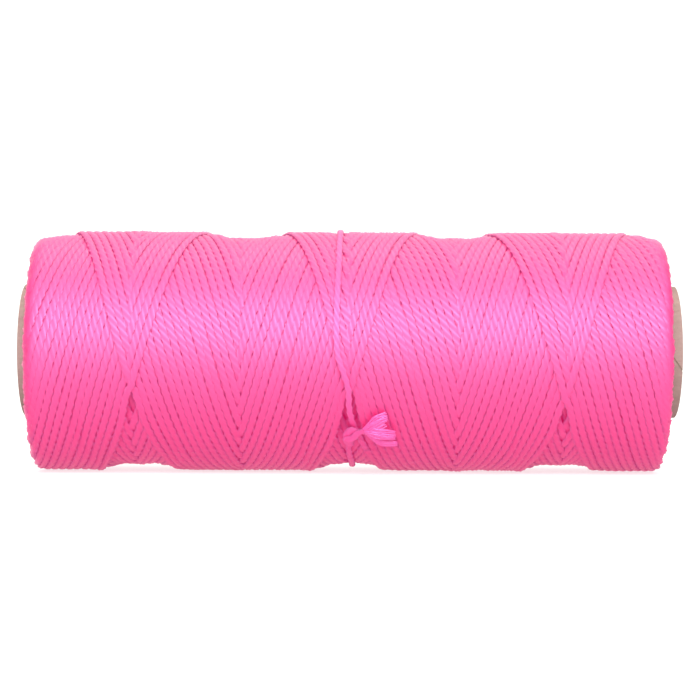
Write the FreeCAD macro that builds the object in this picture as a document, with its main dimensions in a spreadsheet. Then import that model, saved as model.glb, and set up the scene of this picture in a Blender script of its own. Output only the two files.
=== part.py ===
import FreeCAD, Part
import math
import os

import Sketcher

# A flangeless spool of twisted nylon line: a spiral-wound paper tube of four plies, the line
# cross-wound on it in rounds, and the line's own end tied round the middle in a hitch.
#
# Frame: +X along the tube, +Z up, -Y towards the knot's side; the origin is the centre of the
# bore at half the tube's length. Millimetres and degrees.

# Cell alias, value and meaning of each driving dimension.
SIZES = (
    ("core_length", 139.0, "paper tube, end to end"),
    ("bore_diameter", 25.4, "inside of the tube"),
    ("liner_wall", 0.3, "innermost paper strip"),
    ("inner_ply_wall", 0.4, "second paper strip"),
    ("outer_ply_wall", 0.4, "third paper strip"),
    ("cover_wall", 0.3, "outermost paper strip"),
    ("strip_advance", 62.0, "travel of every strip along the tube in one turn"),
    ("butt_gap", 0.3, "open joint between the edges of one strip, along the tube"),
    ("liner_joint_angle", 100.0, "where the liner's joint starts, about +X"),
    ("inner_ply_joint_angle", 190.0, "where the second strip's joint starts"),
    ("outer_ply_joint_angle", 280.0, "where the third strip's joint starts"),
    ("cover_joint_angle", 13.2, "where the outermost strip's joint starts"),
    ("winding_length", 133.6, "wound line, end to end"),
    ("winding_centre", -0.3, "middle of the winding from the middle of the tube"),
    ("line_diameter", 1.5, "three-strand twisted line"),
    ("layer_build", 1.14, "radius that one flattened layer of line adds"),
    ("shoulder_depth", 3.0, "how far the winding's end draws in at its outer edge"),
    ("shoulder_rise", 6.0, "how far down from the outer edge the drawing in starts"),
    ("shoulder_radius", 2.0, "rounding of the outer edge"),
    ("tie_station", -1.4, "plane of the tie's turn, from the middle of the tube"),
    ("tie_proud", 0.5, "how far the tie stands out of the winding on top"),
    ("tie_proud_below", 0.05, "the same at the bottom, where the spool's weight presses it in"),
    ("knot_station", 0.1, "middle of the knot, from the middle of the tube"),
    ("knot_angle", -43.0, "place of the knot, from -Y towards +Z"),
    ("knot_length", 3.6, "knot, along the tube"),
    ("knot_width", 3.8, "knot, round the winding"),
    ("knot_height", 3.0, "knot, measured outwards"),
    ("knot_bedding", 0.5, "how far the knot is pulled down into the winding's outline"),
    ("strand_root_diameter", 0.75, "one strand of the line where it leaves the knot"),
    ("strand_tuft_diameter", 2.2, "the same strand where it is frayed"),
    ("strand_spacing", 1.0, "between the strands where they leave the knot"),
)

CORE_PLIES = (
    ("core_inner_liner", "liner_wall", "liner_joint_angle"),
    ("core_inner_ply", "inner_ply_wall", "inner_ply_joint_angle"),
    ("core_outer_ply", "outer_ply_wall", "outer_ply_joint_angle"),
    ("core_cover_ply", "cover_wall", "cover_joint_angle"),
)
FULL_ROUNDS = 4             # complete coverages of the tube by the line
LAYERS_PER_ROUND = 2        # the two crossing directions of one coverage
JOINT_OVERCUT = 0.1         # the joint's cutter beyond both faces of its strip
JOINT_RUNOUT = 1.0          # the joint's cutter beyond both ends of the tube
LARGEST_ROUNDING = 0.95     # share of the top round's wall that its rounding may take

# Each strand of the tail: name, place in the fan, then its end from its root: along the tube,
# round the winding and outwards.
TAIL_STRANDS = (
    ("tail_strand_upper", 1, (8.2, 3.4, 1.6)),
    ("tail_strand_middle", 0, (9.2, 0.3, 1.3)),
    ("tail_strand_lower", -1, (6.6, -3.2, 0.9)),
)

CORE_RADIUS = "(sizes.bore_diameter / 2 + sizes.liner_wall + sizes.inner_ply_wall" \
              " + sizes.outer_ply_wall + sizes.cover_wall)"
PACKAGE_LAYERS = (FULL_ROUNDS + 1) * LAYERS_PER_ROUND
PACKAGE_RADIUS = f"({CORE_RADIUS} + {PACKAGE_LAYERS} * sizes.layer_build)"
TIE_RING_RADIUS = f"({PACKAGE_RADIUS} - sizes.line_diameter / 2" \
                  " + (sizes.tie_proud + sizes.tie_proud_below) / 2)"
TIE_LIFT = "((sizes.tie_proud - sizes.tie_proud_below) / 2)"

X_AXIS = FreeCAD.Vector(1, 0, 0)
Y_AXIS = FreeCAD.Vector(0, 1, 0)
Z_AXIS = FreeCAD.Vector(0, 0, 1)
ORIGIN = FreeCAD.Vector(0, 0, 0)


def make_sheet(doc):
    """Put the driving dimensions into a spreadsheet, one alias each."""
    sheet = doc.addObject("Spreadsheet::Sheet", "sizes")
    for row, (alias, value, meaning) in enumerate(SIZES, start=1):
        sheet.set(f"A{row}", alias)
        sheet.set(f"B{row}", str(value))
        sheet.set(f"C{row}", meaning)
        sheet.setAlias(f"B{row}", alias)
    doc.recompute()
    return sheet


def origin_plane(body, role):
    """Return one of a body's own origin planes."""
    return next(plane for plane in body.Origin.OriginFeatures if plane.Role == role)


def new_body(doc, name):
    """Add an empty body whose label names its node."""
    body = doc.addObject("PartDesign::Body", name)
    body.Label = name
    return body


def new_sketch(body, name, role):
    """Add a sketch on one of the body's origin planes."""
    sketch = body.newObject("Sketcher::SketchObject", name)
    sketch.AttachmentSupport = (origin_plane(body, role), [""])
    sketch.MapMode = "FlatFace"
    return sketch


def bind(target, **expressions):
    """Bind properties of an object to expressions on the sheet."""
    for name, expression in expressions.items():
        target.setExpression(name.replace("__", "."), expression)


def dimension(sketch, name, expression, *constraint):
    """Add a named dimension to a sketch and bind it to the sheet."""
    index = sketch.addConstraint(Sketcher.Constraint(*constraint))
    sketch.renameConstraint(index, name)
    sketch.setExpression(f"Constraints.{name}", expression)


def add_circle(sketch, name, radius):
    """Draw a circle round the sketch's origin with a bound radius."""
    circle = sketch.addGeometry(Part.Circle(ORIGIN, Z_AXIS, 1.0), False)
    sketch.addConstraint(Sketcher.Constraint("Coincident", circle, 3, -1, 1))
    dimension(sketch, name, radius, "Radius", circle, 1.0)


def add_band(sketch, radii, half_lengths, guess):
    """Draw a four-sided section, symmetric about the vertical axis.

    radii and half_lengths are pairs of expressions, for the inner and the outer side; guess is
    the starting size (inner radius, outer radius, half-length) that the solver starts from.
    """
    low, high, half = guess
    corners = [(-half, low), (half, low), (half, high), (-half, high)]
    points = [FreeCAD.Vector(x, y, 0) for x, y in corners]
    sides = [sketch.addGeometry(Part.LineSegment(points[i], points[(i + 1) % 4]), False)
             for i in range(4)]
    for i in range(4):
        sketch.addConstraint(Sketcher.Constraint("Coincident", sides[i], 2, sides[(i + 1) % 4], 1))
    for side in (sides[0], sides[2]):
        sketch.addConstraint(Sketcher.Constraint("Symmetric", side, 1, side, 2, -2))
    dimension(sketch, "inner_radius", radii[0], "DistanceY", -1, 1, sides[0], 2, low)
    dimension(sketch, "outer_radius", radii[1], "DistanceY", -1, 1, sides[2], 1, high)
    dimension(sketch, "inner_half", half_lengths[0], "DistanceX", -1, 1, sides[0], 2, half)
    dimension(sketch, "outer_half", half_lengths[1], "DistanceX", -1, 1, sides[2], 1, half)


def make_ply(doc, name, inner, outer, joint_angle):
    """One strip of the tube: a ring with the open helical joint between the strip's edges."""
    body = new_body(doc, name)
    ring = new_sketch(body, f"{name}_ring", "YZ_Plane")
    add_circle(ring, "inner_radius", inner)
    add_circle(ring, "outer_radius", outer)
    wall = body.newObject("PartDesign::Pad", f"{name}_wall")
    wall.Profile = ring
    wall.Midplane = True
    bind(wall, Length="sizes.core_length")
    doc.recompute()

    section = new_sketch(body, f"{name}_joint_section", "XZ_Plane")
    half_gap = "sizes.butt_gap / 2"
    add_band(section, (f"{inner} - {JOINT_OVERCUT}", f"{outer} + {JOINT_OVERCUT}"),
             (half_gap, half_gap), (12.0, 15.0, 0.2))
    bind(section, AttachmentOffset__Base__x=f"-(sizes.core_length / 2 + {JOINT_RUNOUT})")
    joint = body.newObject("PartDesign::SubtractiveHelix", f"{name}_joint")
    joint.Profile = section
    joint.ReferenceAxis = (section, ["H_Axis"])
    joint.Mode = "pitch-height-angle"
    bind(joint, Pitch="sizes.strip_advance", Height=f"sizes.core_length + {2 * JOINT_RUNOUT}")
    body.Tip = joint
    body.Placement = FreeCAD.Placement(ORIGIN, FreeCAD.Rotation(X_AXIS, 1.0))
    bind(body, Placement__Rotation__Angle=f"sizes.{joint_angle}")
    return body


def make_core(doc):
    """The four plies, each on the one inside it."""
    plies = []
    inner = "(sizes.bore_diameter / 2)"
    for name, wall, joint_angle in CORE_PLIES:
        outer = f"({inner} + sizes.{wall})"
        plies.append(make_ply(doc, name, inner, outer, joint_angle))
        inner = outer
    return plies


def round_radius(layers):
    """Radius of the winding after a number of layers."""
    return f"({CORE_RADIUS} + {layers} * sizes.layer_build)"


def half_length_at(radius):
    """Half the winding's length at a radius: full inside, drawn in as an ellipse outside."""
    start = f"({PACKAGE_RADIUS} - sizes.shoulder_rise)"
    share = f"(max({radius}; {start}) - {start}) / sizes.shoulder_rise"
    return f"sizes.winding_length / 2 - sizes.shoulder_depth * (1 - sqrt(1 - ({share})^2))"


def make_round(doc, name, first_layer, outer_half):
    """One complete coverage of line, as the closed ring that its turns fill."""
    inner = round_radius(first_layer)
    outer = round_radius(first_layer + LAYERS_PER_ROUND)
    body = new_body(doc, name)
    section = new_sketch(body, f"{name}_section", "XZ_Plane")
    add_band(section, (inner, outer), (half_length_at(inner), outer_half), (15.0, 17.0, 65.0))
    ring = body.newObject("PartDesign::Revolution", f"{name}_ring")
    ring.Profile = section
    ring.ReferenceAxis = (section, ["H_Axis"])
    ring.Angle = 360.0
    bind(body, Placement__Base__x="sizes.winding_centre")
    doc.recompute()
    return body


def outer_edges(shape):
    """Names of the circular edges that lie at a ring's largest radius."""
    radii = [edge.Curve.Radius if isinstance(edge.Curve, Part.Circle) else 0.0
             for edge in shape.Edges]
    return [f"Edge{i}" for i, radius in enumerate(radii, start=1)
            if math.isclose(radius, max(radii), rel_tol=1e-6)]


def add_tie_groove(doc, body):
    """Cut the bed that the tie has pulled for itself, round the tie's own slightly high axis."""
    bed = new_sketch(body, "tie_bed_section", "XZ_Plane")
    ends = (FreeCAD.Vector(-5, 0.5, 0), FreeCAD.Vector(5, 0.5, 0))
    axis = bed.addGeometry(Part.LineSegment(*ends), True)
    bed.addConstraint(Sketcher.Constraint("Symmetric", axis, 1, axis, 2, -2))
    dimension(bed, "half_axis", "sizes.line_diameter", "DistanceX", -1, 1, axis, 2, 5.0)
    dimension(bed, "tie_lift", TIE_LIFT, "DistanceY", -1, 1, axis, 2, 0.5)
    circle = bed.addGeometry(Part.Circle(FreeCAD.Vector(0, 25, 0), Z_AXIS, 0.7), False)
    bed.addConstraint(Sketcher.Constraint("PointOnObject", circle, 3, -2))
    dimension(bed, "line_radius", "sizes.line_diameter / 2", "Radius", circle, 0.7)
    dimension(bed, "ring_height", f"{TIE_RING_RADIUS} + {TIE_LIFT}",
              "DistanceY", -1, 1, circle, 3, 25.0)
    bind(bed, AttachmentOffset__Base__x="sizes.tie_station - sizes.winding_centre")
    groove = body.newObject("PartDesign::Groove", "tie_bed")
    groove.Profile = bed
    groove.ReferenceAxis = (bed, ["Axis0"])
    groove.Angle = 360.0
    body.Tip = groove
    doc.recompute()


def make_top_round(doc):
    """The outer coverage, with rounded shoulders and the tie's bed."""
    first_layer = FULL_ROUNDS * LAYERS_PER_ROUND
    body = make_round(doc, "wound_round_top", first_layer, half_length_at(round_radius(first_layer)))
    ring = body.Tip
    shoulders = body.newObject("PartDesign::Fillet", "rounded_shoulders")
    shoulders.Base = (ring, outer_edges(ring.Shape))
    wall = f"{LAYERS_PER_ROUND} * sizes.layer_build"
    bind(shoulders, Radius=f"min(sizes.shoulder_radius; {LARGEST_ROUNDING} * {wall})")
    body.Tip = shoulders
    doc.recompute()
    add_tie_groove(doc, body)
    return body


def make_winding(doc):
    """The full rounds from the tube outwards, then the top one."""
    rounds = []
    for number in range(FULL_ROUNDS):
        first_layer = number * LAYERS_PER_ROUND
        outer_half = half_length_at(round_radius(first_layer + LAYERS_PER_ROUND))
        rounds.append(make_round(doc, f"wound_round_{number + 1}", first_layer, outer_half))
    rounds.append(make_top_round(doc))
    return rounds


def make_tie(doc):
    """The line's end, taken once round the middle of the winding."""
    tie = doc.addObject("Part::Torus", "tie_wrap")
    tie.Label = "tie_wrap"
    tie.Placement = FreeCAD.Placement(ORIGIN, FreeCAD.Rotation(Y_AXIS, 90))
    bind(tie, Radius1=TIE_RING_RADIUS, Radius2="sizes.line_diameter / 2",
         Placement__Base__x="sizes.tie_station", Placement__Base__z=TIE_LIFT)
    return tie


def cut(doc, name, base, tool):
    """Cut one object with another."""
    result = doc.addObject("Part::Cut", name)
    result.Label = name
    result.Base = base
    result.Tool = tool
    return result


def knot_directions(sheet):
    """Directions at the knot: round the winding (upwards) and outwards."""
    angle = math.radians(sheet.get("knot_angle"))
    outward = FreeCAD.Vector(0, -math.cos(angle), math.sin(angle))
    return outward.cross(X_AXIS), outward


def place_at_knot(target, along, around, outwards):
    """Bind an object's position to a point given in the knot's own directions."""
    radius = f"({PACKAGE_RADIUS} - sizes.knot_bedding + sizes.knot_height / 2 + {outwards})"
    bind(target, Placement__Base__x=f"sizes.knot_station + {along}",
         Placement__Base__y=f"-{radius} * cos(sizes.knot_angle) + ({around}) * sin(sizes.knot_angle)",
         Placement__Base__z=f"{radius} * sin(sizes.knot_angle) + ({around}) * cos(sizes.knot_angle)")


def make_knot(doc, tie):
    """The hitch that closes the tie: a rounded lump seated on the winding, over the tie."""
    lump = doc.addObject("Part::Ellipsoid", "knot_lump")
    lump.Placement = FreeCAD.Placement(ORIGIN, FreeCAD.Rotation(X_AXIS, 1.0))
    bind(lump, Radius1="sizes.knot_height / 2", Radius2="sizes.knot_length / 2",
         Radius3="sizes.knot_width / 2", Placement__Rotation__Angle="90 - sizes.knot_angle")
    place_at_knot(lump, "0", "0", "0")

    surface = doc.addObject("Part::Cylinder", "winding_surface")
    surface.Placement = FreeCAD.Placement(ORIGIN, FreeCAD.Rotation(Y_AXIS, 90))
    bind(surface, Radius=PACKAGE_RADIUS, Height="sizes.winding_length",
         Placement__Base__x="sizes.winding_centre - sizes.winding_length / 2")
    seated = cut(doc, "knot_on_winding", lump, surface)
    return cut(doc, "tie_knot", seated, tie), lump


def make_tail_strand(doc, sheet, lump, name, place, reach):
    """One untwisted strand of the tail, thin at the knot and frayed wide at its end."""
    around, outward = knot_directions(sheet)
    direction = X_AXIS * reach[0] + around * reach[1] + outward * reach[2]
    strand = doc.addObject("Part::Cone", f"{name}_cone")
    strand.Height = direction.Length
    strand.Placement = FreeCAD.Placement(ORIGIN, FreeCAD.Rotation(Z_AXIS, direction))
    bind(strand, Radius1="sizes.strand_root_diameter / 2", Radius2="sizes.strand_tuft_diameter / 2")
    place_at_knot(strand, "0", f"{place} * sizes.strand_spacing", "0")
    return cut(doc, name, strand, lump)


def check(doc, nodes):
    """Stop if any object failed or any node's solid is missing or broken."""
    failed = [item.Name for item in doc.Objects if {"Invalid", "Error"} & set(item.State)]
    if failed:
        raise RuntimeError(f"objects that failed: {failed}")
    for node in nodes:
        if node.Shape.isNull() or not node.Shape.isValid() or len(node.Shape.Solids) != 1:
            raise RuntimeError(f"{node.Label} has no single valid solid")


def main():
    """Build every node, check them and write them out."""
    doc = FreeCAD.newDocument("line_spool")
    sheet = make_sheet(doc)
    nodes = make_core(doc) + make_winding(doc)
    tie = make_tie(doc)
    knot, lump = make_knot(doc, tie)
    nodes += [tie, knot]
    nodes += [make_tail_strand(doc, sheet, lump, *strand) for strand in TAIL_STRANDS]
    doc.recompute()
    check(doc, nodes)
    os.makedirs("parts", exist_ok=True)
    for node in nodes:
        node.Shape.exportStep(f"parts/{node.Label}.step")
        box = node.Shape.BoundBox
        print(f"{node.Label:20s} {node.Shape.Volume:10.2f} mm3  "
              f"X {box.XMin:.2f}..{box.XMax:.2f}  Z {box.ZMin:.2f}..{box.ZMax:.2f}")


main()
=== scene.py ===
"""Looks of a flangeless spool of twisted nylon line, built round its CAD frame.

The line is laid turn by turn by the same rule as a cross-winding machine, so that the order of
its crossings, its seams and the steps between its layers come out of the winding itself. The
paper tube keeps its CAD plies and gets their paper. Lengths are in millimetres inside the
classes and become metres where a mesh is made.
"""

import logging
import math
from dataclasses import dataclass, field
from enum import Enum
from typing import Any, Callable, Iterable, Iterator, Optional, Union

import bpy
import numpy as np
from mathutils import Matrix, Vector


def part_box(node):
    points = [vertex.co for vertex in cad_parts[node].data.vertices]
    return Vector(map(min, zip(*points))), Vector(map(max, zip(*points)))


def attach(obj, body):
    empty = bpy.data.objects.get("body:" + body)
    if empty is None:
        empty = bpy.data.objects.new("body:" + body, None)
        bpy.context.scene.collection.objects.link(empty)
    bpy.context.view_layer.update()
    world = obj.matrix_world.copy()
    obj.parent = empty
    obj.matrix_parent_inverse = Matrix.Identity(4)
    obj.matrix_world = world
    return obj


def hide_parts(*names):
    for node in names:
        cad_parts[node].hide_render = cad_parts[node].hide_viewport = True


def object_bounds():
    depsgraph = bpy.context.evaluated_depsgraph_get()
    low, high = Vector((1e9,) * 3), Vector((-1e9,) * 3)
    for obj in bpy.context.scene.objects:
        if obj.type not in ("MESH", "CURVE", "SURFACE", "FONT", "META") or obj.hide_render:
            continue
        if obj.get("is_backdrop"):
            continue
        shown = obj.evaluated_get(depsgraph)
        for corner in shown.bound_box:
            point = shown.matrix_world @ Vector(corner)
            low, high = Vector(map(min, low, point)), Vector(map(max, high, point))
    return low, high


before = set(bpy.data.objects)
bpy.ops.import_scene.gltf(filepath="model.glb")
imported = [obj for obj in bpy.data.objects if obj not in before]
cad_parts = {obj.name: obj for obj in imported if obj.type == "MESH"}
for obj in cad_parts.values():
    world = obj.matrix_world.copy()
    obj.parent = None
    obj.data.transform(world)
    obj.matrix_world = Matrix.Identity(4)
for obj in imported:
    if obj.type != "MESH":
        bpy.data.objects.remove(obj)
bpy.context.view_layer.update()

LOG = logging.getLogger("line_spool")
METRE = 0.001


# ---------------------------------------------------------------- small geometry helpers

def cad_box(node: str) -> tuple[np.ndarray, np.ndarray]:
    """Return a CAD node's lowest and highest corner in millimetres.

    Args:
        node: name of the CAD node.

    Returns:
        The two corners as arrays.
    """
    low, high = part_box(node)
    return np.array(low) / METRE, np.array(high) / METRE


def on_package(station: np.ndarray, angle: np.ndarray, radius: np.ndarray) -> np.ndarray:
    """Turn cylinder coordinates into points.

    Args:
        station: distance along the tube, from its middle.
        angle: degrees from the front (-Y) towards +Z.
        radius: distance from the tube's axis.

    Returns:
        Points, one row each.
    """
    turn = np.radians(angle)
    return np.stack([station, -radius * np.cos(turn), radius * np.sin(turn)], axis=-1)


def unit(vectors: np.ndarray) -> np.ndarray:
    """Return the vectors scaled to length one."""
    return vectors / np.maximum(np.linalg.norm(vectors, axis=-1, keepdims=True), 1e-12)


def run_length(points: np.ndarray) -> np.ndarray:
    """Return the distance run along a path at each of its points."""
    steps = np.linalg.norm(np.diff(points, axis=0), axis=1)
    return np.concatenate([[0.0], np.cumsum(steps)])


def smoothed(values: np.ndarray, reach: int) -> np.ndarray:
    """Smooth a row of values.

    Args:
        values: the row.
        reach: width of the bell-shaped window, in samples.

    Returns:
        The smoothed row, as long as the first.
    """
    bell = np.exp(-0.5 * (np.arange(-2 * reach, 2 * reach + 1) / reach) ** 2)
    padded = np.pad(values, 2 * reach, mode="edge")
    return np.convolve(padded, bell / bell.sum(), mode="valid")


def highest_near(values: np.ndarray, reach: int) -> np.ndarray:
    """Return at each sample the highest value near it.

    Args:
        values: the row of samples.
        reach: samples to look at on each side.

    Returns:
        The highest values, as many as there are samples.
    """
    padded = np.pad(values, reach, mode="edge")
    windows = np.lib.stride_tricks.sliding_window_view(padded, 2 * reach + 1)
    return windows.max(axis=1)


def through(points: np.ndarray, per_span: int) -> np.ndarray:
    """Lead a smooth curve through points.

    Args:
        points: the points, one row each, of any width.
        per_span: samples from one point to the next.

    Returns:
        The curve's samples, the last point included.
    """
    padded = np.vstack([2 * points[0] - points[1], points, 2 * points[-1] - points[-2]])
    share = np.linspace(0.0, 1.0, per_span, endpoint=False)[:, None]
    spans = []
    for before, start, end, after in zip(padded, padded[1:], padded[2:], padded[3:]):
        spans.append(0.5 * (2 * start + (end - before) * share
                            + (2 * before - 5 * start + 4 * end - after) * share ** 2
                            + (3 * start - before - 3 * end + after) * share ** 3))
    return np.vstack([*spans, points[-1:]])


# ---------------------------------------------------------------- shader maths

Number = Union[int, float]


class Signal:
    """A scalar shader socket that takes part in Python arithmetic."""

    def __init__(self, graph: "Graph", socket: bpy.types.NodeSocket) -> None:
        """Wrap an output socket of a graph."""
        self.graph = graph
        self.socket = socket

    def _join(self, operation: str, left: Any, right: Any) -> "Signal":
        """Add a Math node for one operation on two values or signals."""
        node = self.graph.node("ShaderNodeMath", {"operation": operation}, {0: left, 1: right})
        return Signal(self.graph, node.outputs[0])

    def __add__(self, other: Any) -> "Signal":
        """Return self + other."""
        return self._join("ADD", self, other)

    def __radd__(self, other: Number) -> "Signal":
        """Return other + self."""
        return self._join("ADD", other, self)

    def __sub__(self, other: Any) -> "Signal":
        """Return self - other."""
        return self._join("SUBTRACT", self, other)

    def __rsub__(self, other: Number) -> "Signal":
        """Return other - self."""
        return self._join("SUBTRACT", other, self)

    def __mul__(self, other: Any) -> "Signal":
        """Return self * other."""
        return self._join("MULTIPLY", self, other)

    def __rmul__(self, other: Number) -> "Signal":
        """Return other * self."""
        return self._join("MULTIPLY", other, self)

    def __pow__(self, other: Any) -> "Signal":
        """Return self ** other."""
        return self._join("POWER", self, other)

    def __rpow__(self, other: Number) -> "Signal":
        """Return other ** self."""
        return self._join("POWER", other, self)

    def clamped(self) -> "Signal":
        """Return the signal held between 0 and 1."""
        node = self.graph.node("ShaderNodeClamp", {}, {"Value": self})
        return Signal(self.graph, node.outputs[0])


class Graph:
    """The node graph of one material."""

    def __init__(self, name: str) -> None:
        """Make a material with nothing but its output and one surface shader."""
        self.material = bpy.data.materials.new(name)
        self.material.use_nodes = True
        self.tree = self.material.node_tree
        self.tree.nodes.clear()
        output = self.node("ShaderNodeOutputMaterial", {}, {})
        self.surface = self.node("ShaderNodeBsdfPrincipled", {}, {})
        self.tree.links.new(self.surface.outputs["BSDF"], output.inputs["Surface"])

    def node(self, kind: str, settings: dict[str, Any],
             sockets: dict[Union[int, str], Any]) -> bpy.types.Node:
        """Add a node.

        Args:
            kind: the node's type.
            settings: its properties, set before its sockets.
            sockets: value, signal or socket for each input, by name or number.

        Returns:
            The new node.
        """
        node = self.tree.nodes.new(kind)
        for name, value in settings.items():
            setattr(node, name, value)
        for key, value in sockets.items():
            self.feed(node.inputs[key], value)
        return node

    def feed(self, target: bpy.types.NodeSocket, value: Any) -> None:
        """Give an input socket a value or a link."""
        source = value.socket if isinstance(value, Signal) else value
        if isinstance(source, bpy.types.NodeSocket):
            self.tree.links.new(source, target)
        else:
            target.default_value = source

    def surface_values(self, **values: Any) -> None:
        """Set the surface shader's sockets, named with underscores for spaces."""
        for name, value in values.items():
            self.feed(self.surface.inputs[name.replace("_", " ")], value)

    def attribute(self, name: str) -> bpy.types.Node:
        """Read one of the mesh's own attributes."""
        return self.node("ShaderNodeAttribute", {"attribute_name": name}, {})

    def noise(self, vector: bpy.types.NodeSocket, scale: float, detail: float,
              roughness: float = 0.5) -> Signal:
        """Return fractal noise at a vector.

        Args:
            vector: where to read it.
            scale: its fineness.
            detail: its number of octaves.
            roughness: how strongly the fine octaves show.

        Returns:
            The noise, from 0 to 1.
        """
        node = self.node("ShaderNodeTexNoise", {"noise_dimensions": "3D"},
                         {"Vector": vector, "Scale": scale, "Detail": detail,
                          "Roughness": roughness})
        return Signal(self, node.outputs["Fac"])

    def mixed(self, share: Signal, low: Any, high: Any) -> bpy.types.NodeSocket:
        """Return the colour between low and high, by share."""
        node = self.node("ShaderNodeMix", {"data_type": "RGBA", "clamp_factor": True},
                         {0: share, 6: low, 7: high})
        return node.outputs[2]

    def vector(self, operation: str, first: Any, second: Any = (0.0, 0.0, 0.0),
               scale: float = 1.0) -> bpy.types.NodeSocket:
        """Return the vector that one operation gives for two others and a scale."""
        node = self.node("ShaderNodeVectorMath", {"operation": operation},
                         {0: first, 1: second, 3: scale})
        return node.outputs["Vector"]

    def bump(self, height: Signal, strength: float, distance: float,
             normal: Optional[bpy.types.NodeSocket] = None) -> None:
        """Feed a bump to the surface's normal.

        Args:
            height: the relief, from 0 to 1.
            strength: how strongly it shows.
            distance: the relief's full height in metres.
            normal: the direction that it tilts, if not the mesh's own.
        """
        node = self.node("ShaderNodeBump", {},
                         {"Strength": strength, "Distance": distance, "Height": height})
        if normal is not None:
            self.feed(node.inputs["Normal"], normal)
        self.surface_values(Normal=node.outputs["Normal"])


Colour = tuple[float, float, float, float]


@dataclass(frozen=True)
class NylonFinish:
    """Fluorescent twisted nylon filament, with a silky gloss that follows its strands.

    The glow is painted light: a constant emission, stronger down the sides of each turn, that stands in
    for the dye's fluorescence and for light coming through the line into the shade between turns. The
    groove colour is painted shade, a little darker in the hollows between strands. The spread is how far
    the gloss leans away from the winding, and past end_station it leans along it.
    """

    name: str
    crest: Colour = (0.30, 0.006, 0.062, 1.0)
    # painted shade: the groove colour is the crest colour a little darker, laid in the hollows between
    # strands
    groove: Colour = (0.28, 0.004, 0.052, 1.0)
    gloss_tint: Colour = (0.9, 0.50, 1.0, 1.0)
    # painted light: glow and side glow are constant emission, the side glow stronger down the sides of
    # each turn
    glow: Colour = (1.0, 0.0, 0.13, 1.0)
    painted_side_glow: Colour = (1.0, 0.055, 0.29, 1.0)
    side_reach: float = 1.6
    glow_strength: float = 0.42
    roughness: float = 0.5
    spread: float = 0.83
    end_station: float = 0.0655
    end_turn: float = 0.015
    end_power: float = 75.0
    silk: float = 0.36
    silk_tint: Colour = (1.0, 0.95, 1.0, 1.0)
    filament_scale: tuple[float, float, float] = (5.0, 5.0, 0.55)
    drift_scale: tuple[float, float, float] = (0.3, 0.3, 0.09)
    filament_depth: float = 0.00004

    def material(self) -> bpy.types.Material:
        """Return the finish as a material."""
        graph = Graph(self.name)
        fibre = graph.attribute("fibre").outputs["Vector"]
        groove = Signal(graph, graph.attribute("groove").outputs["Fac"])
        filaments = graph.noise(graph.vector("MULTIPLY", fibre, self.filament_scale), 1.6, 3.0, 0.6)
        drift = graph.noise(graph.vector("MULTIPLY", fibre, self.drift_scale), 1.0, 2.0)
        # painted shade: the groove mask darkens the base colour in the hollows between strands; the
        # filament and drift noise are the nylon's own tone
        depth = (groove * 0.7 + (filaments - 0.5) * 0.5 + (drift - 0.5) * 0.5).clamped()
        outward = self._outward(graph)
        facing = graph.node("ShaderNodeNewGeometry", {}, {}).outputs["Normal"]
        graph.surface_values(
            Base_Color=graph.mixed(depth, self.crest, self.groove),
            Roughness=filaments * 0.16 + groove * 0.22 + (self.roughness - 0.12),
            IOR=1.8,
            Specular_IOR_Level=1.0,
            Specular_Tint=self.gloss_tint,
            Sheen_Weight=self.silk,
            Sheen_Roughness=0.3,
            Sheen_Tint=self.silk_tint,
            # painted light: a constant emission, stronger down the sides of each turn
            Emission_Color=graph.mixed(self._side(graph, outward, facing), self.glow, self.painted_side_glow),
            Emission_Strength=self.glow_strength)
        graph.bump(filaments, 0.6, self.filament_depth, self._spread_normal(graph, outward, facing))
        return graph.material

    def _side(self, graph: Graph, outward: bpy.types.NodeSocket,
              facing: bpy.types.NodeSocket) -> Signal:
        """Return where the painted glow is strongest: down the sides of each turn, where it lightens the
        shade between turns as if light came through the nylon.

        Args:
            graph: the graph that the nodes join.
            outward: direction away from the winding.
            facing: direction that the surface faces.

        Returns:
            0 on top of a turn and 1 down its sides.
        """
        along = graph.node("ShaderNodeVectorMath", {"operation": "DOT_PRODUCT"},
                           {0: outward, 1: facing}).outputs["Value"]
        return ((1.0 - Signal(graph, along)) * self.side_reach).clamped()

    def _outward(self, graph: Graph) -> bpy.types.NodeSocket:
        """Return the direction away from the axis, which turns along the axis at the ends."""
        place = graph.node("ShaderNodeTexCoord", {}, {}).outputs["Object"]
        split = graph.node("ShaderNodeSeparateXYZ", {}, {0: place})
        station = Signal(graph, split.outputs["X"])
        end = (station * (1.0 / self.end_station)) ** self.end_power * self.end_turn
        joined = graph.node("ShaderNodeCombineXYZ", {},
                            {"X": end, "Y": split.outputs["Y"], "Z": split.outputs["Z"]})
        return graph.vector("NORMALIZE", joined.outputs["Vector"])

    def _spread_normal(self, graph: Graph, outward: bpy.types.NodeSocket,
                       facing: bpy.types.NodeSocket) -> bpy.types.NodeSocket:
        """Lean the normal outwards, as filaments spread the gloss across the whole line.

        Args:
            graph: the graph that the nodes join.
            outward: direction away from the winding.
            facing: direction that the surface faces.

        Returns:
            The leaning normal.
        """
        leaning = graph.vector("ADD", graph.vector("SCALE", outward, scale=self.spread),
                               graph.vector("SCALE", facing, scale=1.0 - self.spread))
        return graph.vector("NORMALIZE", leaning)


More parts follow.
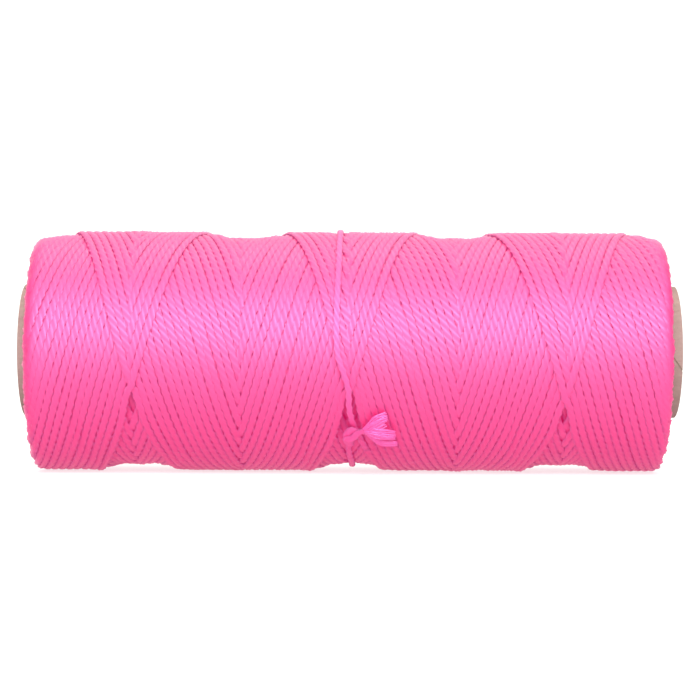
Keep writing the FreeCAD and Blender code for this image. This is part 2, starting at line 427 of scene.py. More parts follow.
@dataclass(frozen=True)
class PaperFinish:
    """Grey-brown tube paper with flecks and soft fibres."""

    name: str
    light: Colour
    dark: Colour
    fibre_scale: float = 900.0
    roughness: float = 0.86
    relief: float = 0.00006

    def material(self) -> bpy.types.Material:
        """Return the finish as a material."""
        graph = Graph(self.name)
        place = graph.node("ShaderNodeTexCoord", {}, {}).outputs["Object"]
        cloud = graph.noise(place, 120.0, 3.0)
        fibres = graph.noise(graph.vector("MULTIPLY", place, (0.35, 1.0, 1.0)), self.fibre_scale, 4.0, 0.7)
        flecks = graph.noise(place, 2400.0, 1.0)
        fleck = ((flecks - 0.66) * 9.0).clamped()
        tone = ((cloud - 0.5) * 0.9 + (fibres - 0.5) * 1.3 + 0.45 + fleck * 0.5).clamped()
        graph.surface_values(
            Base_Color=graph.mixed(tone, self.light, self.dark),
            Roughness=(fibres * 0.12 + (self.roughness - 0.06)),
            Specular_IOR_Level=0.3)
        graph.bump(fibres + cloud * 0.5, 0.7, self.relief)
        return graph.material


@dataclass(frozen=True)
class FloorFinish:
    """Plain pale studio floor, softly lit from beneath like a light table."""

    name: str
    colour: Colour = (0.3, 0.3, 0.3, 1.0)
    glow: Colour = (1.0, 1.0, 1.0, 1.0)
    glow_strength: float = 0.7

    def material(self) -> bpy.types.Material:
        """Return the finish as a material."""
        graph = Graph(self.name)
        graph.surface_values(Base_Color=self.colour, Roughness=0.9, Specular_IOR_Level=0.1,
                             Emission_Color=self.glow, Emission_Strength=self.glow_strength)
        return graph.material


# ---------------------------------------------------------------- the line as a mesh

class Section(Enum):
    """How the line's cross-section is drawn: radii round it, as shares of its half width."""

    STRANDED = (1.0, 0.83, 0.80, 1.0, 0.83, 0.80, 1.0, 0.83, 0.80)
    THREAD = (1.0, 1.0, 1.0, 1.0)


@dataclass
class Run:
    """One stretch of line, ready to be skinned.

    points, outward and twist have a row for each place along it; width and height are the
    section's full size there, along the surface and outwards.
    """

    points: np.ndarray
    outward: np.ndarray
    twist: np.ndarray
    width: np.ndarray
    height: np.ndarray
    along: np.ndarray


@dataclass
class Skin:
    """Vertices, faces, atlas coordinates and attributes of skinned runs."""

    section: Section
    vertices: list[np.ndarray] = field(default_factory=list)
    quads: list[np.ndarray] = field(default_factory=list)
    caps: list[np.ndarray] = field(default_factory=list)
    fibre: list[np.ndarray] = field(default_factory=list)
    groove: list[np.ndarray] = field(default_factory=list)
    count: int = 0

    def add(self, run: Run) -> None:
        """Skin one run and close both its ends.

        Args:
            run: the stretch of line.
        """
        shares = np.array(self.section.value)
        sides = len(shares)
        around = 2 * math.pi * np.arange(sides) / sides
        tangent = unit(np.gradient(run.points, axis=0))
        outward = unit(run.outward - tangent * (run.outward * tangent).sum(1, keepdims=True))
        across = np.cross(tangent, outward)
        turned = around[None, :] + run.twist[:, None]
        wide = (np.cos(turned) * shares * run.width[:, None] / 2)[..., None]
        high = (np.sin(turned) * shares * run.height[:, None] / 2)[..., None]
        rings = run.points[:, None, :] + across[:, None, :] * wide + outward[:, None, :] * high
        stations = len(run.points)
        first = self.count + np.arange(stations - 1)[:, None] * sides + np.arange(sides)[None, :]
        second = self.count + np.arange(stations - 1)[:, None] * sides \
            + (np.arange(sides)[None, :] + 1) % sides
        self.quads.append(np.stack([first, first + sides, second + sides, second], -1)
                          .reshape(-1, 4))
        start = self.count + np.arange(sides)
        self.caps += [start, (start + (stations - 1) * sides)[::-1]]
        self.vertices.append(rings.reshape(-1, 3))
        ring = np.stack([np.cos(around), np.sin(around)], -1)
        fibre = np.concatenate([np.broadcast_to(ring, (stations, sides, 2)),
                                np.broadcast_to(run.along[:, None, None], (stations, sides, 1))], -1)
        self.fibre.append(fibre.reshape(-1, 3))
        # groove mask: 1 in the hollows between strands, where the nylon finish paints shade into the base
        # colour and raises the roughness
        hollow = (1.0 - shares) / max(1e-6, (1.0 - shares).max())
        self.groove.append(np.broadcast_to(hollow, (stations, sides)).reshape(-1))
        self.count += stations * sides

    def mesh(self, name: str) -> bpy.types.Mesh:
        """Return the skins as one mesh with its own atlas and attributes."""
        vertices = np.concatenate(self.vertices) * METRE
        quads = np.concatenate(self.quads)
        sides = len(self.section.value)
        corners = np.concatenate([quads.reshape(-1), *self.caps])
        sizes = np.concatenate([np.full(len(quads), 4), np.full(len(self.caps), sides)])
        mesh = bpy.data.meshes.new(name)
        mesh.vertices.add(len(vertices))
        mesh.vertices.foreach_set("co", vertices.astype(np.float32).ravel())
        mesh.loops.add(len(corners))
        mesh.loops.foreach_set("vertex_index", corners.astype(np.int32))
        mesh.polygons.add(len(sizes))
        starts = np.concatenate([[0], np.cumsum(sizes)[:-1]])
        mesh.polygons.foreach_set("loop_start", starts.astype(np.int32))
        mesh.polygons.foreach_set("use_smooth", np.ones(len(sizes), bool))
        mesh.update(calc_edges=True)
        atlas = mesh.uv_layers.new(name="OFBake")
        atlas.data.foreach_set("uv", self._atlas(len(quads), sides).astype(np.float32).ravel())
        fibre = mesh.attributes.new("fibre", "FLOAT_VECTOR", "POINT")
        fibre.data.foreach_set("vector", np.concatenate(self.fibre).astype(np.float32).ravel())
        groove = mesh.attributes.new("groove", "FLOAT", "POINT")
        groove.data.foreach_set("value", np.concatenate(self.groove).astype(np.float32))
        mesh.validate()
        return mesh

    def _atlas(self, quad_count: int, sides: int) -> np.ndarray:
        """Fold the unrolled line into columns side by side, with the caps above them.

        Args:
            quad_count: the mesh's faces without its caps.
            sides: faces round the line, which is a column's width.

        Returns:
            The atlas place of each face corner.
        """
        rings = quad_count // sides
        width = sides + 1
        columns = max(1, round(math.sqrt(rings / width)))
        rows = math.ceil(rings / columns)
        place = np.arange(rings)
        left = (place // rows * width)[:, None] + np.arange(sides)[None, :]
        low = np.broadcast_to((place % rows)[:, None], (rings, sides))
        corner = np.stack([np.stack([left, low], -1), np.stack([left, low + 1], -1),
                           np.stack([left + 1, low + 1], -1), np.stack([left + 1, low], -1)], 2)
        size = np.array([columns * width, rows + width])
        quads = corner.reshape(-1, 2) / size
        turn = 2 * math.pi * np.arange(sides) / sides
        cap = np.stack([np.cos(turn), np.sin(turn)], -1) * 0.4 * sides
        caps = []
        for number in range(len(self.caps)):
            centre = np.array([(number % max(1, columns) + 0.5) * width, rows + width / 2])
            caps.append((centre + cap * 0.9) / size)
        return np.clip(np.concatenate([quads, *caps]), 0.0, 1.0)


def add_piece(name: str, mesh: bpy.types.Mesh, material: bpy.types.Material,
              stands_for: Iterable[str]) -> bpy.types.Object:
    """Put a mesh into the scene as a piece of the spool.

    Args:
        name: the piece's name.
        mesh: its mesh, in metres.
        material: its finish.
        stands_for: the CAD nodes that it replaces.

    Returns:
        The new object.
    """
    piece = bpy.data.objects.new(name, mesh)
    bpy.context.scene.collection.objects.link(piece)
    mesh.materials.append(material)
    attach(piece, "root")
    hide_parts(*stands_for)
    LOG.info("%s: %d faces", name, len(mesh.polygons))
    return piece


# ---------------------------------------------------------------- the winding

@dataclass(frozen=True)
class LineSize:
    """The twisted line: round deep inside the winding, flattened and bedded in outside.

    A layer is what one more crossing adds to the package.
    """

    width: float = 1.5
    height: float = 1.5
    layer: float = 1.49
    outer_width: float = 1.76
    outer_height: float = 1.12
    outer_layer: float = 0.65
    lay: float = 6.3

    def size(self, flat: np.ndarray) -> tuple[np.ndarray, np.ndarray]:
        """Return the line's width and height where it is flattened by a share."""
        return (self.width + (self.outer_width - self.width) * flat,
                self.height + (self.outer_height - self.height) * flat)


@dataclass(frozen=True)
class WindRule:
    """How the winding machine lays the line; angles in degrees from the front towards +Z."""

    traverse: float = 133.8
    gain_per_double: float = 12.97
    coverages: float = 4.645
    round_coverages: float = 3.0
    last_left_turn: float = 163.8
    last_stroke: float = 0.472
    inner_reach: float = 66.4
    outer_reach: float = 65.8
    wander: float = 0.06
    seed: int = 7

    @property
    def stroke(self) -> float:
        """Turn of the package in one stroke."""
        return (6 * 360.0 - self.gain_per_double) / 2

    @property
    def coverage_turn(self) -> float:
        """Turn of the package while every place on it is covered once."""
        return 2 * 360.0 / self.gain_per_double * self.stroke

    @property
    def strokes(self) -> float:
        """Strokes from the first turn of line to the last left turn."""
        return 2 * self.coverages * 360.0 / self.gain_per_double


@dataclass(frozen=True)
class Gap:
    """A slit at the tip of a notch, where the last turns part; angles in degrees."""

    station: float
    angle: float
    half_angle: float
    half_width: float
    depth: float
    parting: float


@dataclass
class Winding:
    """The cross-wound line: its path, and the height of the package under and over it.

    The surface is a grid of heights in steps of station and angle. Lines rest on crests only,
    since bridge and ease span what lies between them, and no line rises past the level of the
    middle by more than the slack.
    """

    line: LineSize
    rule: WindRule
    core_radius: float
    half_length: float
    centre: float
    angle_step: float = 0.75
    station_step: float = 0.25
    margin: float = 4.0
    shoulder_depth: float = 2.2
    shoulder_rise: float = 3.2
    bridge: int = 3
    ease: int = 2
    crest: float = 0.3
    full_share: float = 0.95
    level_reach: float = 0.8
    level_percentile: float = 92.0
    level_slack: float = 0.1
    end_depth: float = 2.4
    turn: np.ndarray = field(default_factory=lambda: np.zeros(0))
    station: np.ndarray = field(default_factory=lambda: np.zeros(0))
    radius: np.ndarray = field(default_factory=lambda: np.zeros(0))
    flat: np.ndarray = field(default_factory=lambda: np.zeros(0))
    along: np.ndarray = field(default_factory=lambda: np.zeros(0))

    def __post_init__(self) -> None:
        """Start with a bare tube."""
        columns = int(2 * (self.half_length + self.margin) / self.station_step)
        self.left_edge = -(self.half_length + self.margin)
        self.surface = np.full((columns, round(360 / self.angle_step)), self.core_radius)

    def cells(self, station: np.ndarray, angle: np.ndarray) -> tuple[np.ndarray, np.ndarray]:
        """Return the surface's cells at given places.

        Args:
            station: stations from the winding's middle.
            angle: angles from the front.

        Returns:
            The cells' columns and rows.
        """
        column = np.round((station - self.left_edge) / self.station_step).astype(int)
        row = np.round(angle / self.angle_step).astype(int) % self.surface.shape[1]
        return np.clip(column, 0, self.surface.shape[0] - 1), row

    def stations(self, turn: np.ndarray, reach: np.ndarray) -> np.ndarray:
        """Return the guide's station at each turn of the package, rounded at both ends.

        Args:
            turn: how far the package has turned, in degrees.
            reach: the line's furthest stations from the middle.

        Returns:
            The stations from the winding's middle.
        """
        stroke, amplitude = self.rule.stroke, self.rule.traverse / 2
        phase = turn / stroke
        nearest = np.round(phase)
        slope = self.rule.traverse / stroke
        rounding = amplitude - reach
        inside = np.sqrt((slope * (phase - nearest) * stroke) ** 2 + rounding ** 2)
        side = np.where(nearest.astype(int) % 2 == 0, -1.0, 1.0)
        return side * (amplitude - inside)

    def shoulder_drop(self, station: np.ndarray) -> np.ndarray:
        """Return how far the package's outline lies under its full radius at a station."""
        start = self.half_length - self.shoulder_depth
        share = np.clip((np.abs(station) - start) / self.shoulder_depth, 0.0, 0.98)
        return self.shoulder_rise * (1 - np.sqrt(1 - share ** 2))

    def lay_line(self) -> None:
        """Wind the whole line on, stroke by stroke, each on what lies there already."""
        draws = np.random.default_rng(self.rule.seed)
        first = -math.floor(self.rule.strokes)
        turns, stations, radii, flats = [], [], [], []
        for stroke in range(first, 2):
            until = 1.0 if stroke < 1 else self.rule.last_stroke
            samples = int(self.rule.stroke * until / self.angle_step)
            turn = self.rule.stroke * stroke + np.arange(samples) * self.angle_step
            done = (stroke - first) / (1 - first)
            flat = float(done * self.rule.coverages >= self.rule.round_coverages)
            reach = self.rule.inner_reach \
                + (self.rule.outer_reach - self.rule.inner_reach) * done ** 2
            wander = smoothed(draws.normal(0.0, 1.0, samples), 24)
            wander *= self.rule.wander / max(wander.std(), 1e-6)
            station = self.stations(turn, np.full(samples, reach)) + wander
            station += draws.normal(0.0, self.rule.wander * 0.5)
            station = np.clip(station, -reach, reach)
            radius = self._rest(station, turn, flat)
            self._cover(station, turn, radius, np.full(samples, flat), self.crest)
            turns.append(turn)
            stations.append(station)
            radii.append(radius)
            flats.append(np.full(samples, flat))
        self.turn, self.station = np.concatenate(turns), np.concatenate(stations)
        self.radius, self.flat = np.concatenate(radii), smoothed(np.concatenate(flats), 40)
        self.radius[1:-1] = smoothed(self.radius, 2)[1:-1]
        self._cover(self.station, self.turn, self.radius, self.flat, self.full_share)
        self.along = run_length(self.points())
        LOG.info("line wound on: %.1f m in %d strokes, outer radius %.2f mm",
                 self.along[-1] / 1000, 1 - first, np.percentile(self.surface, 99))

    def _rest(self, station: np.ndarray, turn: np.ndarray, flat: float) -> np.ndarray:
        """Return the radius at which the taut line comes to rest on the package.

        Args:
            station: the line's stations from the winding's middle.
            turn: the package's turn at each of them.
            flat: share by which the line is flattened.

        Returns:
            The radius of the line's middle at each station.
        """
        angle = self.rule.last_left_turn + turn
        touch = self.surface[self.cells(station, angle)]
        rest = smoothed(highest_near(touch, self.bridge), self.ease)
        height = self.line.size(flat)[1]
        rest += (self.line.outer_layer if flat else self.line.layer) - height / 2
        middle = np.abs(station) < self.level_reach * self.half_length
        level = np.percentile(rest[middle], self.level_percentile)
        rest = np.minimum(rest, level + self.level_slack - self.shoulder_drop(station))
        return np.maximum(rest, self.core_radius + height / 2)

    def _cover(self, station: np.ndarray, turn: np.ndarray, radius: np.ndarray,
               flat: np.ndarray, share: float) -> None:
        """Raise the package's surface where the line lies.

        Args:
            station: the line's stations from the winding's middle.
            turn: the package's turn at each of them.
            radius: the radius of the line's middle.
            flat: share by which the line is flattened.
            share: part of the line's width that counts.
        """
        width, height = self.line.size(flat)
        angle = self.rule.last_left_turn + turn
        for offset in np.linspace(-share, share, 2 * math.ceil(4 * share) + 1):
            crown = radius + height / 2 * math.sqrt(1 - offset ** 2)
            cells = self.cells(station + offset * width / 2, angle)
            np.maximum.at(self.surface, cells, crown)

    def angle(self) -> np.ndarray:
        """Return each sample's angle from the front."""
        return self.rule.last_left_turn + self.turn

    def points(self) -> np.ndarray:
        """Return the path of the line's middle."""
        return on_package(self.station + self.centre, self.angle(), self.radius)

    def showing(self) -> np.ndarray:
        """Return where the line can be seen, from outside or on the winding's ends."""
        seen = np.zeros(len(self.station), bool)
        height = self.line.size(self.flat)[1]
        for offset in (-0.5, 0.0, 0.5):
            top = self.surface[self.cells(self.station + offset, self.angle())]
            seen |= self.radius + height / 2 > top - 0.5
        end = np.abs(self.station) > self.half_length - self.end_depth
        return highest_near((seen | end).astype(float), 4) > 0.5

    def press_under(self, tie_station: np.ndarray, tie_angle: np.ndarray,
                    tie_radius: np.ndarray, depth: float) -> None:
        """Press the turns under a tight wrap inwards.

        Args:
            tie_station: the wrap's stations from the winding's middle.
            tie_angle: the wrap's angles, rising.
            tie_radius: the wrap's radii.
            depth: how far the topmost turns give way.
        """
        angle = (self.angle() - tie_angle[0]) % 360 + tie_angle[0]
        station = np.interp(angle, tie_angle, tie_station)
        radius = np.interp(angle, tie_angle, tie_radius)
        near = np.exp(-((self.station - station) / self.line.outer_width) ** 2)
        high = np.clip((self.radius - radius + 3.0) / 3.0, 0.0, 1.0)
        self.radius = self.radius - depth * near * high

    def open_gap(self, gap: Gap) -> None:
        """Sink the older turns where the last ones part and leave a dark slit.

        Args:
            gap: the slit's place and size.
        """
        older = self.turn < self.turn[-1] - self.rule.coverage_turn * 0.7
        away = (self.angle() - gap.angle + 180.0) % 360.0 - 180.0
        along = np.clip((np.abs(away) - gap.half_angle) / 5.0, 0.0, None)
        across = np.clip((np.abs(self.station - gap.station) - gap.half_width) / 0.8, 0.0, None)
        top = self.radius.max()
        high = np.clip((self.radius - top + 8.0) / 5.0, 0.0, 1.0)
        self.radius -= gap.depth * older * high * np.exp(-along ** 2 - across ** 2)
        aside = self.station - gap.station
        push = gap.parting * np.tanh(aside / 0.3) * np.exp(-(aside / 2.4) ** 2)
        self.station = self.station + push * high * np.exp(-along ** 2)


@dataclass
class WoundLine:
    """The winding's pieces: the line of each coverage, skinned where it shows."""

    winding: Winding
    finish: bpy.types.Material
    shown_stride: int = 2
    hidden_stride: int = 16
    most_rings: int = 10_500

    def pieces(self) -> list[bpy.types.Object]:
        """Skin the line coverage by coverage, counted from the tube outwards."""
        winding = self.winding
        coverage = winding.rule.coverage_turn
        begin = winding.turn[0]
        kept = self._kept()
        made = []
        names = ["wound_round_1", "wound_round_2", "wound_round_3", "wound_round_4",
                 "wound_round_top"]
        for number, node in enumerate(names):
            start = begin + number * coverage
            end = start + coverage if number < len(names) - 1 else winding.turn[-1] + 1
            inside = kept[(winding.turn[kept] >= start) & (winding.turn[kept] < end)]
            for part, chunk in enumerate(self._chunks(inside, kept)):
                skin = Skin(Section.STRANDED)
                skin.add(self._run(chunk))
                name = f"line_coverage_{number + 1}{'abcdef'[part]}"
                made.append(add_piece(name, skin.mesh(name), self.finish, [node]))
        return made

    def _kept(self) -> np.ndarray:
        """Return the samples to skin: close together where the line shows."""
        index = np.arange(len(self.winding.turn))
        shown = self.winding.showing() & (index % self.shown_stride == 0)
        coarse = index % self.hidden_stride == 0
        coarse[[0, -1]] = True
        return index[shown | coarse]

    def _chunks(self, inside: np.ndarray, kept: np.ndarray) -> list[np.ndarray]:
        """Split samples into stretches of a size that one mesh may have, end on end.

        Args:
            inside: the samples of one coverage.
            kept: all the samples that are skinned.

        Returns:
            The samples of each stretch, with the first of the next one.
        """
        count = max(1, math.ceil(len(inside) / self.most_rings))
        chunks = []
        for part in np.array_split(inside, count):
            following = kept[kept > part[-1]][:1]
            chunks.append(np.concatenate([part, following]))
        return chunks

    def _run(self, samples: np.ndarray) -> Run:
        """Return the stretch of line at the given samples.

        Args:
            samples: numbers of the winding's samples.

        Returns:
            The stretch, ready to be skinned.
        """
        winding, line = self.winding, self.winding.line
        points = winding.points()[samples]
        outward = points * np.array([0.0, 1.0, 1.0])
        along = winding.along[samples]
        width, height = line.size(winding.flat[samples])
        return Run(points, unit(outward), 2 * math.pi * along / line.lay, width, height, along)


# ---------------------------------------------------------------- the tie, its hitch and tail

@dataclass(frozen=True)
class Lobe:
    """One frayed strand of the tail: a bundle of fine filaments.

    The path has rows of station from the knot, way round the winding and height over it.
    """

    node: str
    path: tuple[tuple[float, float, float], ...]
    breadth: float
    depth: float
    ragged: float
    count: int = 110

    def filaments(self, draws: np.random.Generator,
                  to_points: Callable[[np.ndarray], np.ndarray]) -> Iterator[Run]:
        """Yield the bundle's filaments.

        Args:
            draws: the source of chance.
            to_points: turns places at the knot into points.

        Yields:
            One run for each filament.
        """
        centre = through(np.array(self.path), 6)
        share = np.linspace(0.0, 1.0, len(centre))
        swell = np.minimum(1.0, 0.14 + 1.9 * share) * (1.0 - 0.25 * share ** 2)
        for _ in range(self.count):
            aside = draws.normal(0.0, 0.5, 2)
            aside /= max(1.0, np.hypot(*aside))
            wave = smoothed(draws.normal(0.0, 0.35, len(centre)), 2) * swell
            path = centre.copy()
            reach = 1.0 - abs(draws.normal(0.0, self.ragged))
            path[:, 0] = path[0, 0] + (path[:, 0] - path[0, 0]) * reach
            path[:, 1] += swell * self.breadth * aside[0] + wave * self.breadth * 0.4
            path[:, 2] += swell * self.depth * aside[1]
            path[:, 2] = np.maximum(path[:, 2], 0.15)
            points = to_points(path)
            along = run_length(points)
            size = np.full(len(points), draws.uniform(0.16, 0.28))
            yield Run(points, unit(points * np.array([0.0, 1.0, 1.0])), along * 0.0, size, size,
                      along + draws.uniform(0, 90))


@dataclass
class Tie:
    """The line's own end: once round the middle, hitched on itself, and cut off short."""

    winding: Winding
    finish: bpy.types.Material
    knot_angle: float
    knot_station: float
    tuft_finish: bpy.types.Material
    sink: float = 0.75
    seed: int = 11
    gaps: tuple[Gap, ...] = (Gap(-44.5, -25.0, 4.0, 0.5, 2.0, 0.45),
                             Gap(44.4, -31.5, 3.5, 0.5, 2.0, 0.45),
                             Gap(0.2, -31.0, 10.0, 2.0, 3.2, 0.9))
    press_depth: float = 0.5
    # rows of angle and of station from the winding's middle, from the winding's last turn on
    route: tuple[tuple[float, float], ...] = (
        (-56.0, 3.72), (-46.0, 2.2), (-37.0, 0.9), (-28.0, 0.2), (-18.0, 0.0), (-10.0, -1.0),
        (0.0, -2.3),
        (18.0, -2.45), (45.0, -2.1), (90.0, -1.8), (135.0, -1.5), (180.0, -1.0), (225.0, -0.2),
        (262.0, 0.75), (284.0, 0.8), (300.0, 0.2), (309.0, 0.1))

    def _wrap(self) -> tuple[np.ndarray, np.ndarray, np.ndarray]:
        """Return stations, angles and radii of the wrap, taut over the winding."""
        angle, station = np.array(self.route).T
        path = through(np.stack([angle, station], -1), 24)
        steps = np.arange(angle[0], angle[-1], 1.5)
        station = np.interp(steps, path[:, 0], path[:, 1])
        touch = np.zeros(len(steps))
        for offset in (-0.6, 0.0, 0.6):
            cells = self.winding.cells(station + offset, steps)
            touch = np.maximum(touch, self.winding.surface[cells])
        radius = smoothed(highest_near(touch, 3), 4) + self.winding.line.outer_height / 2 - self.sink
        lift = np.exp(-(steps - steps[0]) / 8.0)
        return station, steps, radius + (self.winding.radius[-1] - radius[0]) * lift

    def build(self) -> list[bpy.types.Object]:
        """Make the wrap, the hitch and the tail's strands."""
        station, angle, radius = self._wrap()
        self.winding.press_under(station, angle, radius, self.press_depth)
        for gap in self.gaps:
            self.winding.open_gap(gap)
        line = self.winding.line
        points = on_package(station + self.winding.centre, angle, radius)
        outward = unit(points * np.array([0.0, 1.0, 1.0]))
        hitch = self._hitch(points[-1])
        along = run_length(points)
        size = np.ones(len(points))
        wrap = Skin(Section.STRANDED)
        wrap.add(Run(points, outward, 2 * math.pi * along / line.lay,
                     line.width * 0.95 * size, line.outer_height * size, along))
        made = [add_piece("tie_round_middle", wrap.mesh("tie_round_middle"), self.finish,
                          ["tie_wrap"])]
        knot = Skin(Section.STRANDED)
        run = run_length(hitch)
        axis = self._to_points(np.array([[0.0, 0.0, -6.0]]))[0]
        slim = np.interp(np.linspace(0, 1, len(hitch)), [0, 0.2, 0.9, 1], [1.0, 1.25, 1.25, 0.95])
        knot.add(Run(hitch, unit(hitch - axis), 2 * math.pi * (run + along[-1]) / line.lay,
                     line.width * 0.92 * slim, line.outer_height * slim, run + along[-1]))
        made.append(add_piece("hitch_knot", knot.mesh("hitch_knot"), self.finish,
                              ["tie_knot"]))
        return made + self._tail()

    def _to_points(self, local: np.ndarray) -> np.ndarray:
        """Turn places at the knot into points.

        Args:
            local: rows of station from the knot, way round the winding and height over it.

        Returns:
            Points, one row each.
        """
        base = self._base_radius()
        turn = math.radians(self.knot_angle)
        outward = np.array([0.0, -math.cos(turn), math.sin(turn)])
        around = np.array([0.0, math.sin(turn), math.cos(turn)])
        x_axis = np.array([1.0, 0.0, 0.0])
        drop = local[:, 1] ** 2 / (2 * base)
        return (x_axis * (self.knot_station + local[:, :1]) + around * local[:, 1:2]
                + outward * (base + local[:, 2:3] - drop[:, None]))

    def _base_radius(self) -> float:
        """Return the winding's radius at the knot."""
        station = np.linspace(-2.0, 2.0, 9) + self.knot_station - self.winding.centre
        cells = self.winding.cells(station, np.full(9, self.knot_angle))
        return float(self.winding.surface[cells].max())

    def _hitch(self, start: np.ndarray) -> np.ndarray:
        """Return the hitch's path, from the wrap's end to where the tail leaves."""
        local = np.array([
            (0.05, -3.0, 0.8), (-0.2, -2.0, 1.3), (-0.7, -0.6, 1.7), (-0.7, 0.9, 1.9),
            (0.1, 2.0, 1.7), (0.9, 1.3, 1.2), (0.85, -0.2, 0.9), (0.1, -1.4, 0.9),
            (-0.75, -0.9, 1.6), (-0.65, 0.3, 2.5), (0.3, 0.7, 2.7), (1.3, 1.2, 1.9),
            (2.7, 1.5, 1.3)])
        return through(np.vstack([start, self._to_points(local)]), 8)

    def _tail(self) -> list[bpy.types.Object]:
        """Fray the line's three strands out from where it leaves the hitch."""
        draws = np.random.default_rng(self.seed)
        lobes = (
            Lobe("tail_strand_upper", ((2.5, 1.5, 1.2), (4.2, 2.7, 1.8), (6.0, 4.0, 1.9),
                                       (7.7, 4.4, 1.3)), 2.1, 0.6, 0.16),
            Lobe("tail_strand_middle", ((2.5, 1.4, 1.2), (4.6, 1.8, 2.1), (7.0, 1.7, 2.5),
                                        (9.4, 1.0, 2.0)), 1.5, 0.6, 0.12),
            Lobe("tail_strand_lower", ((2.5, 1.3, 1.1), (4.6, 0.0, 1.6), (6.8, -1.8, 1.7),
                                       (9.8, -2.4, 1.3)), 0.8, 0.4, 0.03),
        )
        made = []
        for lobe in lobes:
            skin = Skin(Section.THREAD)
            for run in lobe.filaments(draws, self._to_points):
                skin.add(run)
            name = lobe.node.replace("strand", "fray")
            made.append(add_piece(name, skin.mesh(name), self.tuft_finish,
                                  [lobe.node]))
        return made


# ---------------------------------------------------------------- the paper tube

@dataclass
class PaperTube:
    """The tube's four CAD plies, which keep their shape and get their papers."""

    cover: PaperFinish = PaperFinish("cover_paper", (0.30, 0.215, 0.19, 1.0), (0.19, 0.13, 0.115, 1.0))
    board: PaperFinish = PaperFinish("tube_board", (0.36, 0.28, 0.22, 1.0), (0.20, 0.15, 0.11, 1.0))
    liner: PaperFinish = PaperFinish("liner_paper", (0.38, 0.29, 0.22, 1.0), (0.23, 0.17, 0.12, 1.0))

    def dress(self) -> None:
        """Give each ply its paper."""
        papers = {"core_cover_ply": self.cover, "core_outer_ply": self.board,
                  "core_inner_ply": self.board, "core_inner_liner": self.liner}
        made: dict[str, bpy.types.Material] = {}
        for node, paper in papers.items():
            if paper.name not in made:
                made[paper.name] = paper.material()
            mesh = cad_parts[node].data
            mesh.materials.clear()
            mesh.materials.append(made[paper.name])
            LOG.info("%s: %s", node, paper.name)


# ---------------------------------------------------------------- the studio

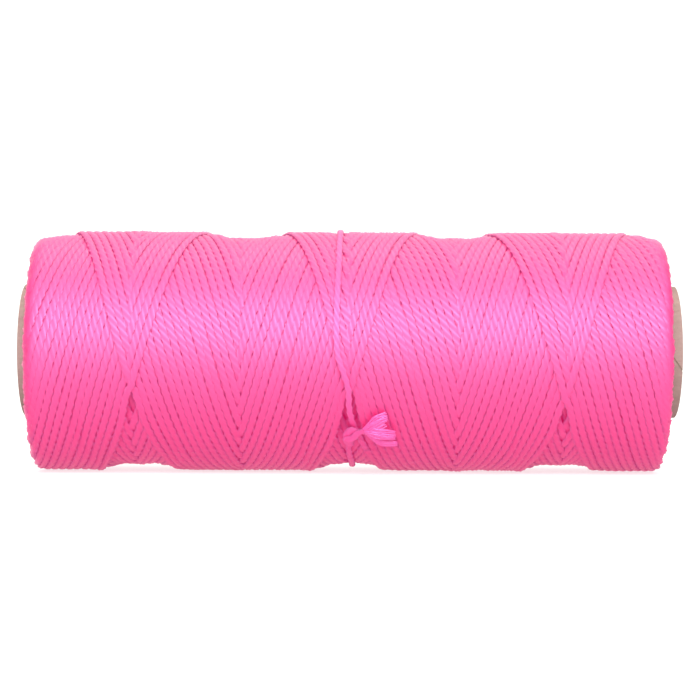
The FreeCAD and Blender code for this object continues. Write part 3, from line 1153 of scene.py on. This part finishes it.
@dataclass
class Studio:
    """Pale floor and backdrop, soft lights and the camera."""

    floor_height: float
    distance: float = 484.0
    view_width: float = 150.4
    sensor: float = 36.0
    aim_height: float = 0.25
    roll: float = -0.2

    def build(self) -> None:
        """Set up everything that isn't part of the spool."""
        self._floor()
        self._lights()
        self._camera()

    def _floor(self) -> None:
        """Lay the floor, in one sweep with the backdrop."""
        half, back, rise, bend = 3.0, 0.9, 2.2, 0.5
        profile = [(-2.5, 0.0), (back - bend, 0.0)]
        for step in range(1, 13):
            turn = math.radians(90 * step / 12)
            profile.append((back - bend + bend * math.sin(turn), bend - bend * math.cos(turn)))
        profile.append((back, rise))
        level = self.floor_height * METRE
        vertices = [(side, y, level + z) for y, z in profile for side in (-half, half)]
        faces = [(2 * i, 2 * i + 1, 2 * i + 3, 2 * i + 2) for i in range(len(profile) - 1)]
        mesh = bpy.data.meshes.new("studio_floor")
        mesh.from_pydata(vertices, [], faces)
        mesh.polygons.foreach_set("use_smooth", [True] * len(faces))
        mesh.materials.append(FloorFinish("studio_floor").material())
        floor = bpy.data.objects.new("studio_floor", mesh)
        bpy.context.scene.collection.objects.link(floor)
        floor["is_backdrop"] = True

    def _area(self, name: str, place: tuple[float, float, float], size: float, power: float,
              colour: tuple[float, float, float]) -> None:
        """Add one soft light that shines at the spool.

        Args:
            name: the light's name.
            place: where it stands.
            size: length of its side.
            power: its power in watts.
            colour: its colour.
        """
        light = bpy.data.lights.new(name, "AREA")
        light.shape = "SQUARE"
        light.size = size
        light.energy = power
        light.color = colour
        lamp = bpy.data.objects.new(name, light)
        lamp.location = place
        lamp.rotation_euler = Vector(place).to_track_quat("Z", "Y").to_euler()
        bpy.context.scene.collection.objects.link(lamp)

    def _lights(self) -> None:
        """Light the spool softly from above the camera, and evenly all round."""
        self._area("key_light", (0.0, -1.1, 0.57), 1.05, 30.0, (1.0, 1.0, 1.0))
        self._area("top_light", (0.0, 0.25, 1.2), 1.0, 13.0, (1.0, 1.0, 0.7))
        world = bpy.data.worlds.new("studio")
        world.use_nodes = True
        background = world.node_tree.nodes["Background"]
        background.inputs["Color"].default_value = (1.0, 1.0, 1.0, 1.0)
        background.inputs["Strength"].default_value = 1.0
        bpy.context.scene.world = world
        bpy.context.scene.view_settings.view_transform = "Standard"

    def _camera(self) -> None:
        """Look straight at the spool's side."""
        camera = bpy.data.cameras.new("camera")
        camera.sensor_width = self.sensor
        camera.lens = self.sensor * self.distance / self.view_width
        camera.clip_start, camera.clip_end = 0.01, 20.0
        holder = bpy.data.objects.new("camera", camera)
        holder.location = (0.0, -self.distance * METRE, self.aim_height * METRE)
        holder.rotation_euler = (math.radians(90), math.radians(self.roll), 0.0)
        bpy.context.scene.collection.objects.link(holder)
        bpy.context.scene.camera = holder


# ---------------------------------------------------------------- everything in order


def main() -> None:
    """Build the spool's looks piece by piece."""
    logging.basicConfig(level=logging.INFO, format="%(name)s: %(message)s")
    low, high = cad_box("wound_round_1")
    core_high = cad_box("core_cover_ply")[1]
    knot_low, knot_high = cad_box("tie_knot")
    knot = (knot_low + knot_high) / 2
    winding = Winding(LineSize(), WindRule(), float(core_high[2]), float(high[0] - low[0]) / 2,
                      float(high[0] + low[0]) / 2)
    winding.lay_line()
    nylon = NylonFinish("pink_nylon_line").material()
    # partly painted highlight: the tail's copy is lighter and pinker, for the paler look of loose
    # filaments and as painted highlight where the tuft faces up
    frayed = NylonFinish("frayed_nylon_painted_highlight", crest=(0.36, 0.045, 0.19, 1.0),
                         groove=(0.34, 0.03, 0.15, 1.0), glow_strength=0.4, spread=0.3).material()
    # a paler, bluer copy of the line's nylon for the wrap and the hitch
    paler_tie_finish = NylonFinish("paler_tie_nylon", crest=(0.32, 0.020, 0.105, 1.0),
                         groove=(0.30, 0.014, 0.085, 1.0)).material()
    tie = Tie(winding, paler_tie_finish, math.degrees(math.atan2(knot[2], -knot[1])), float(knot[0]), frayed)
    tie.build()
    WoundLine(winding, nylon).pieces()
    PaperTube().dress()
    Studio(float(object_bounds()[0][2]) / METRE).build()


if __name__ == "__main__":
    main()
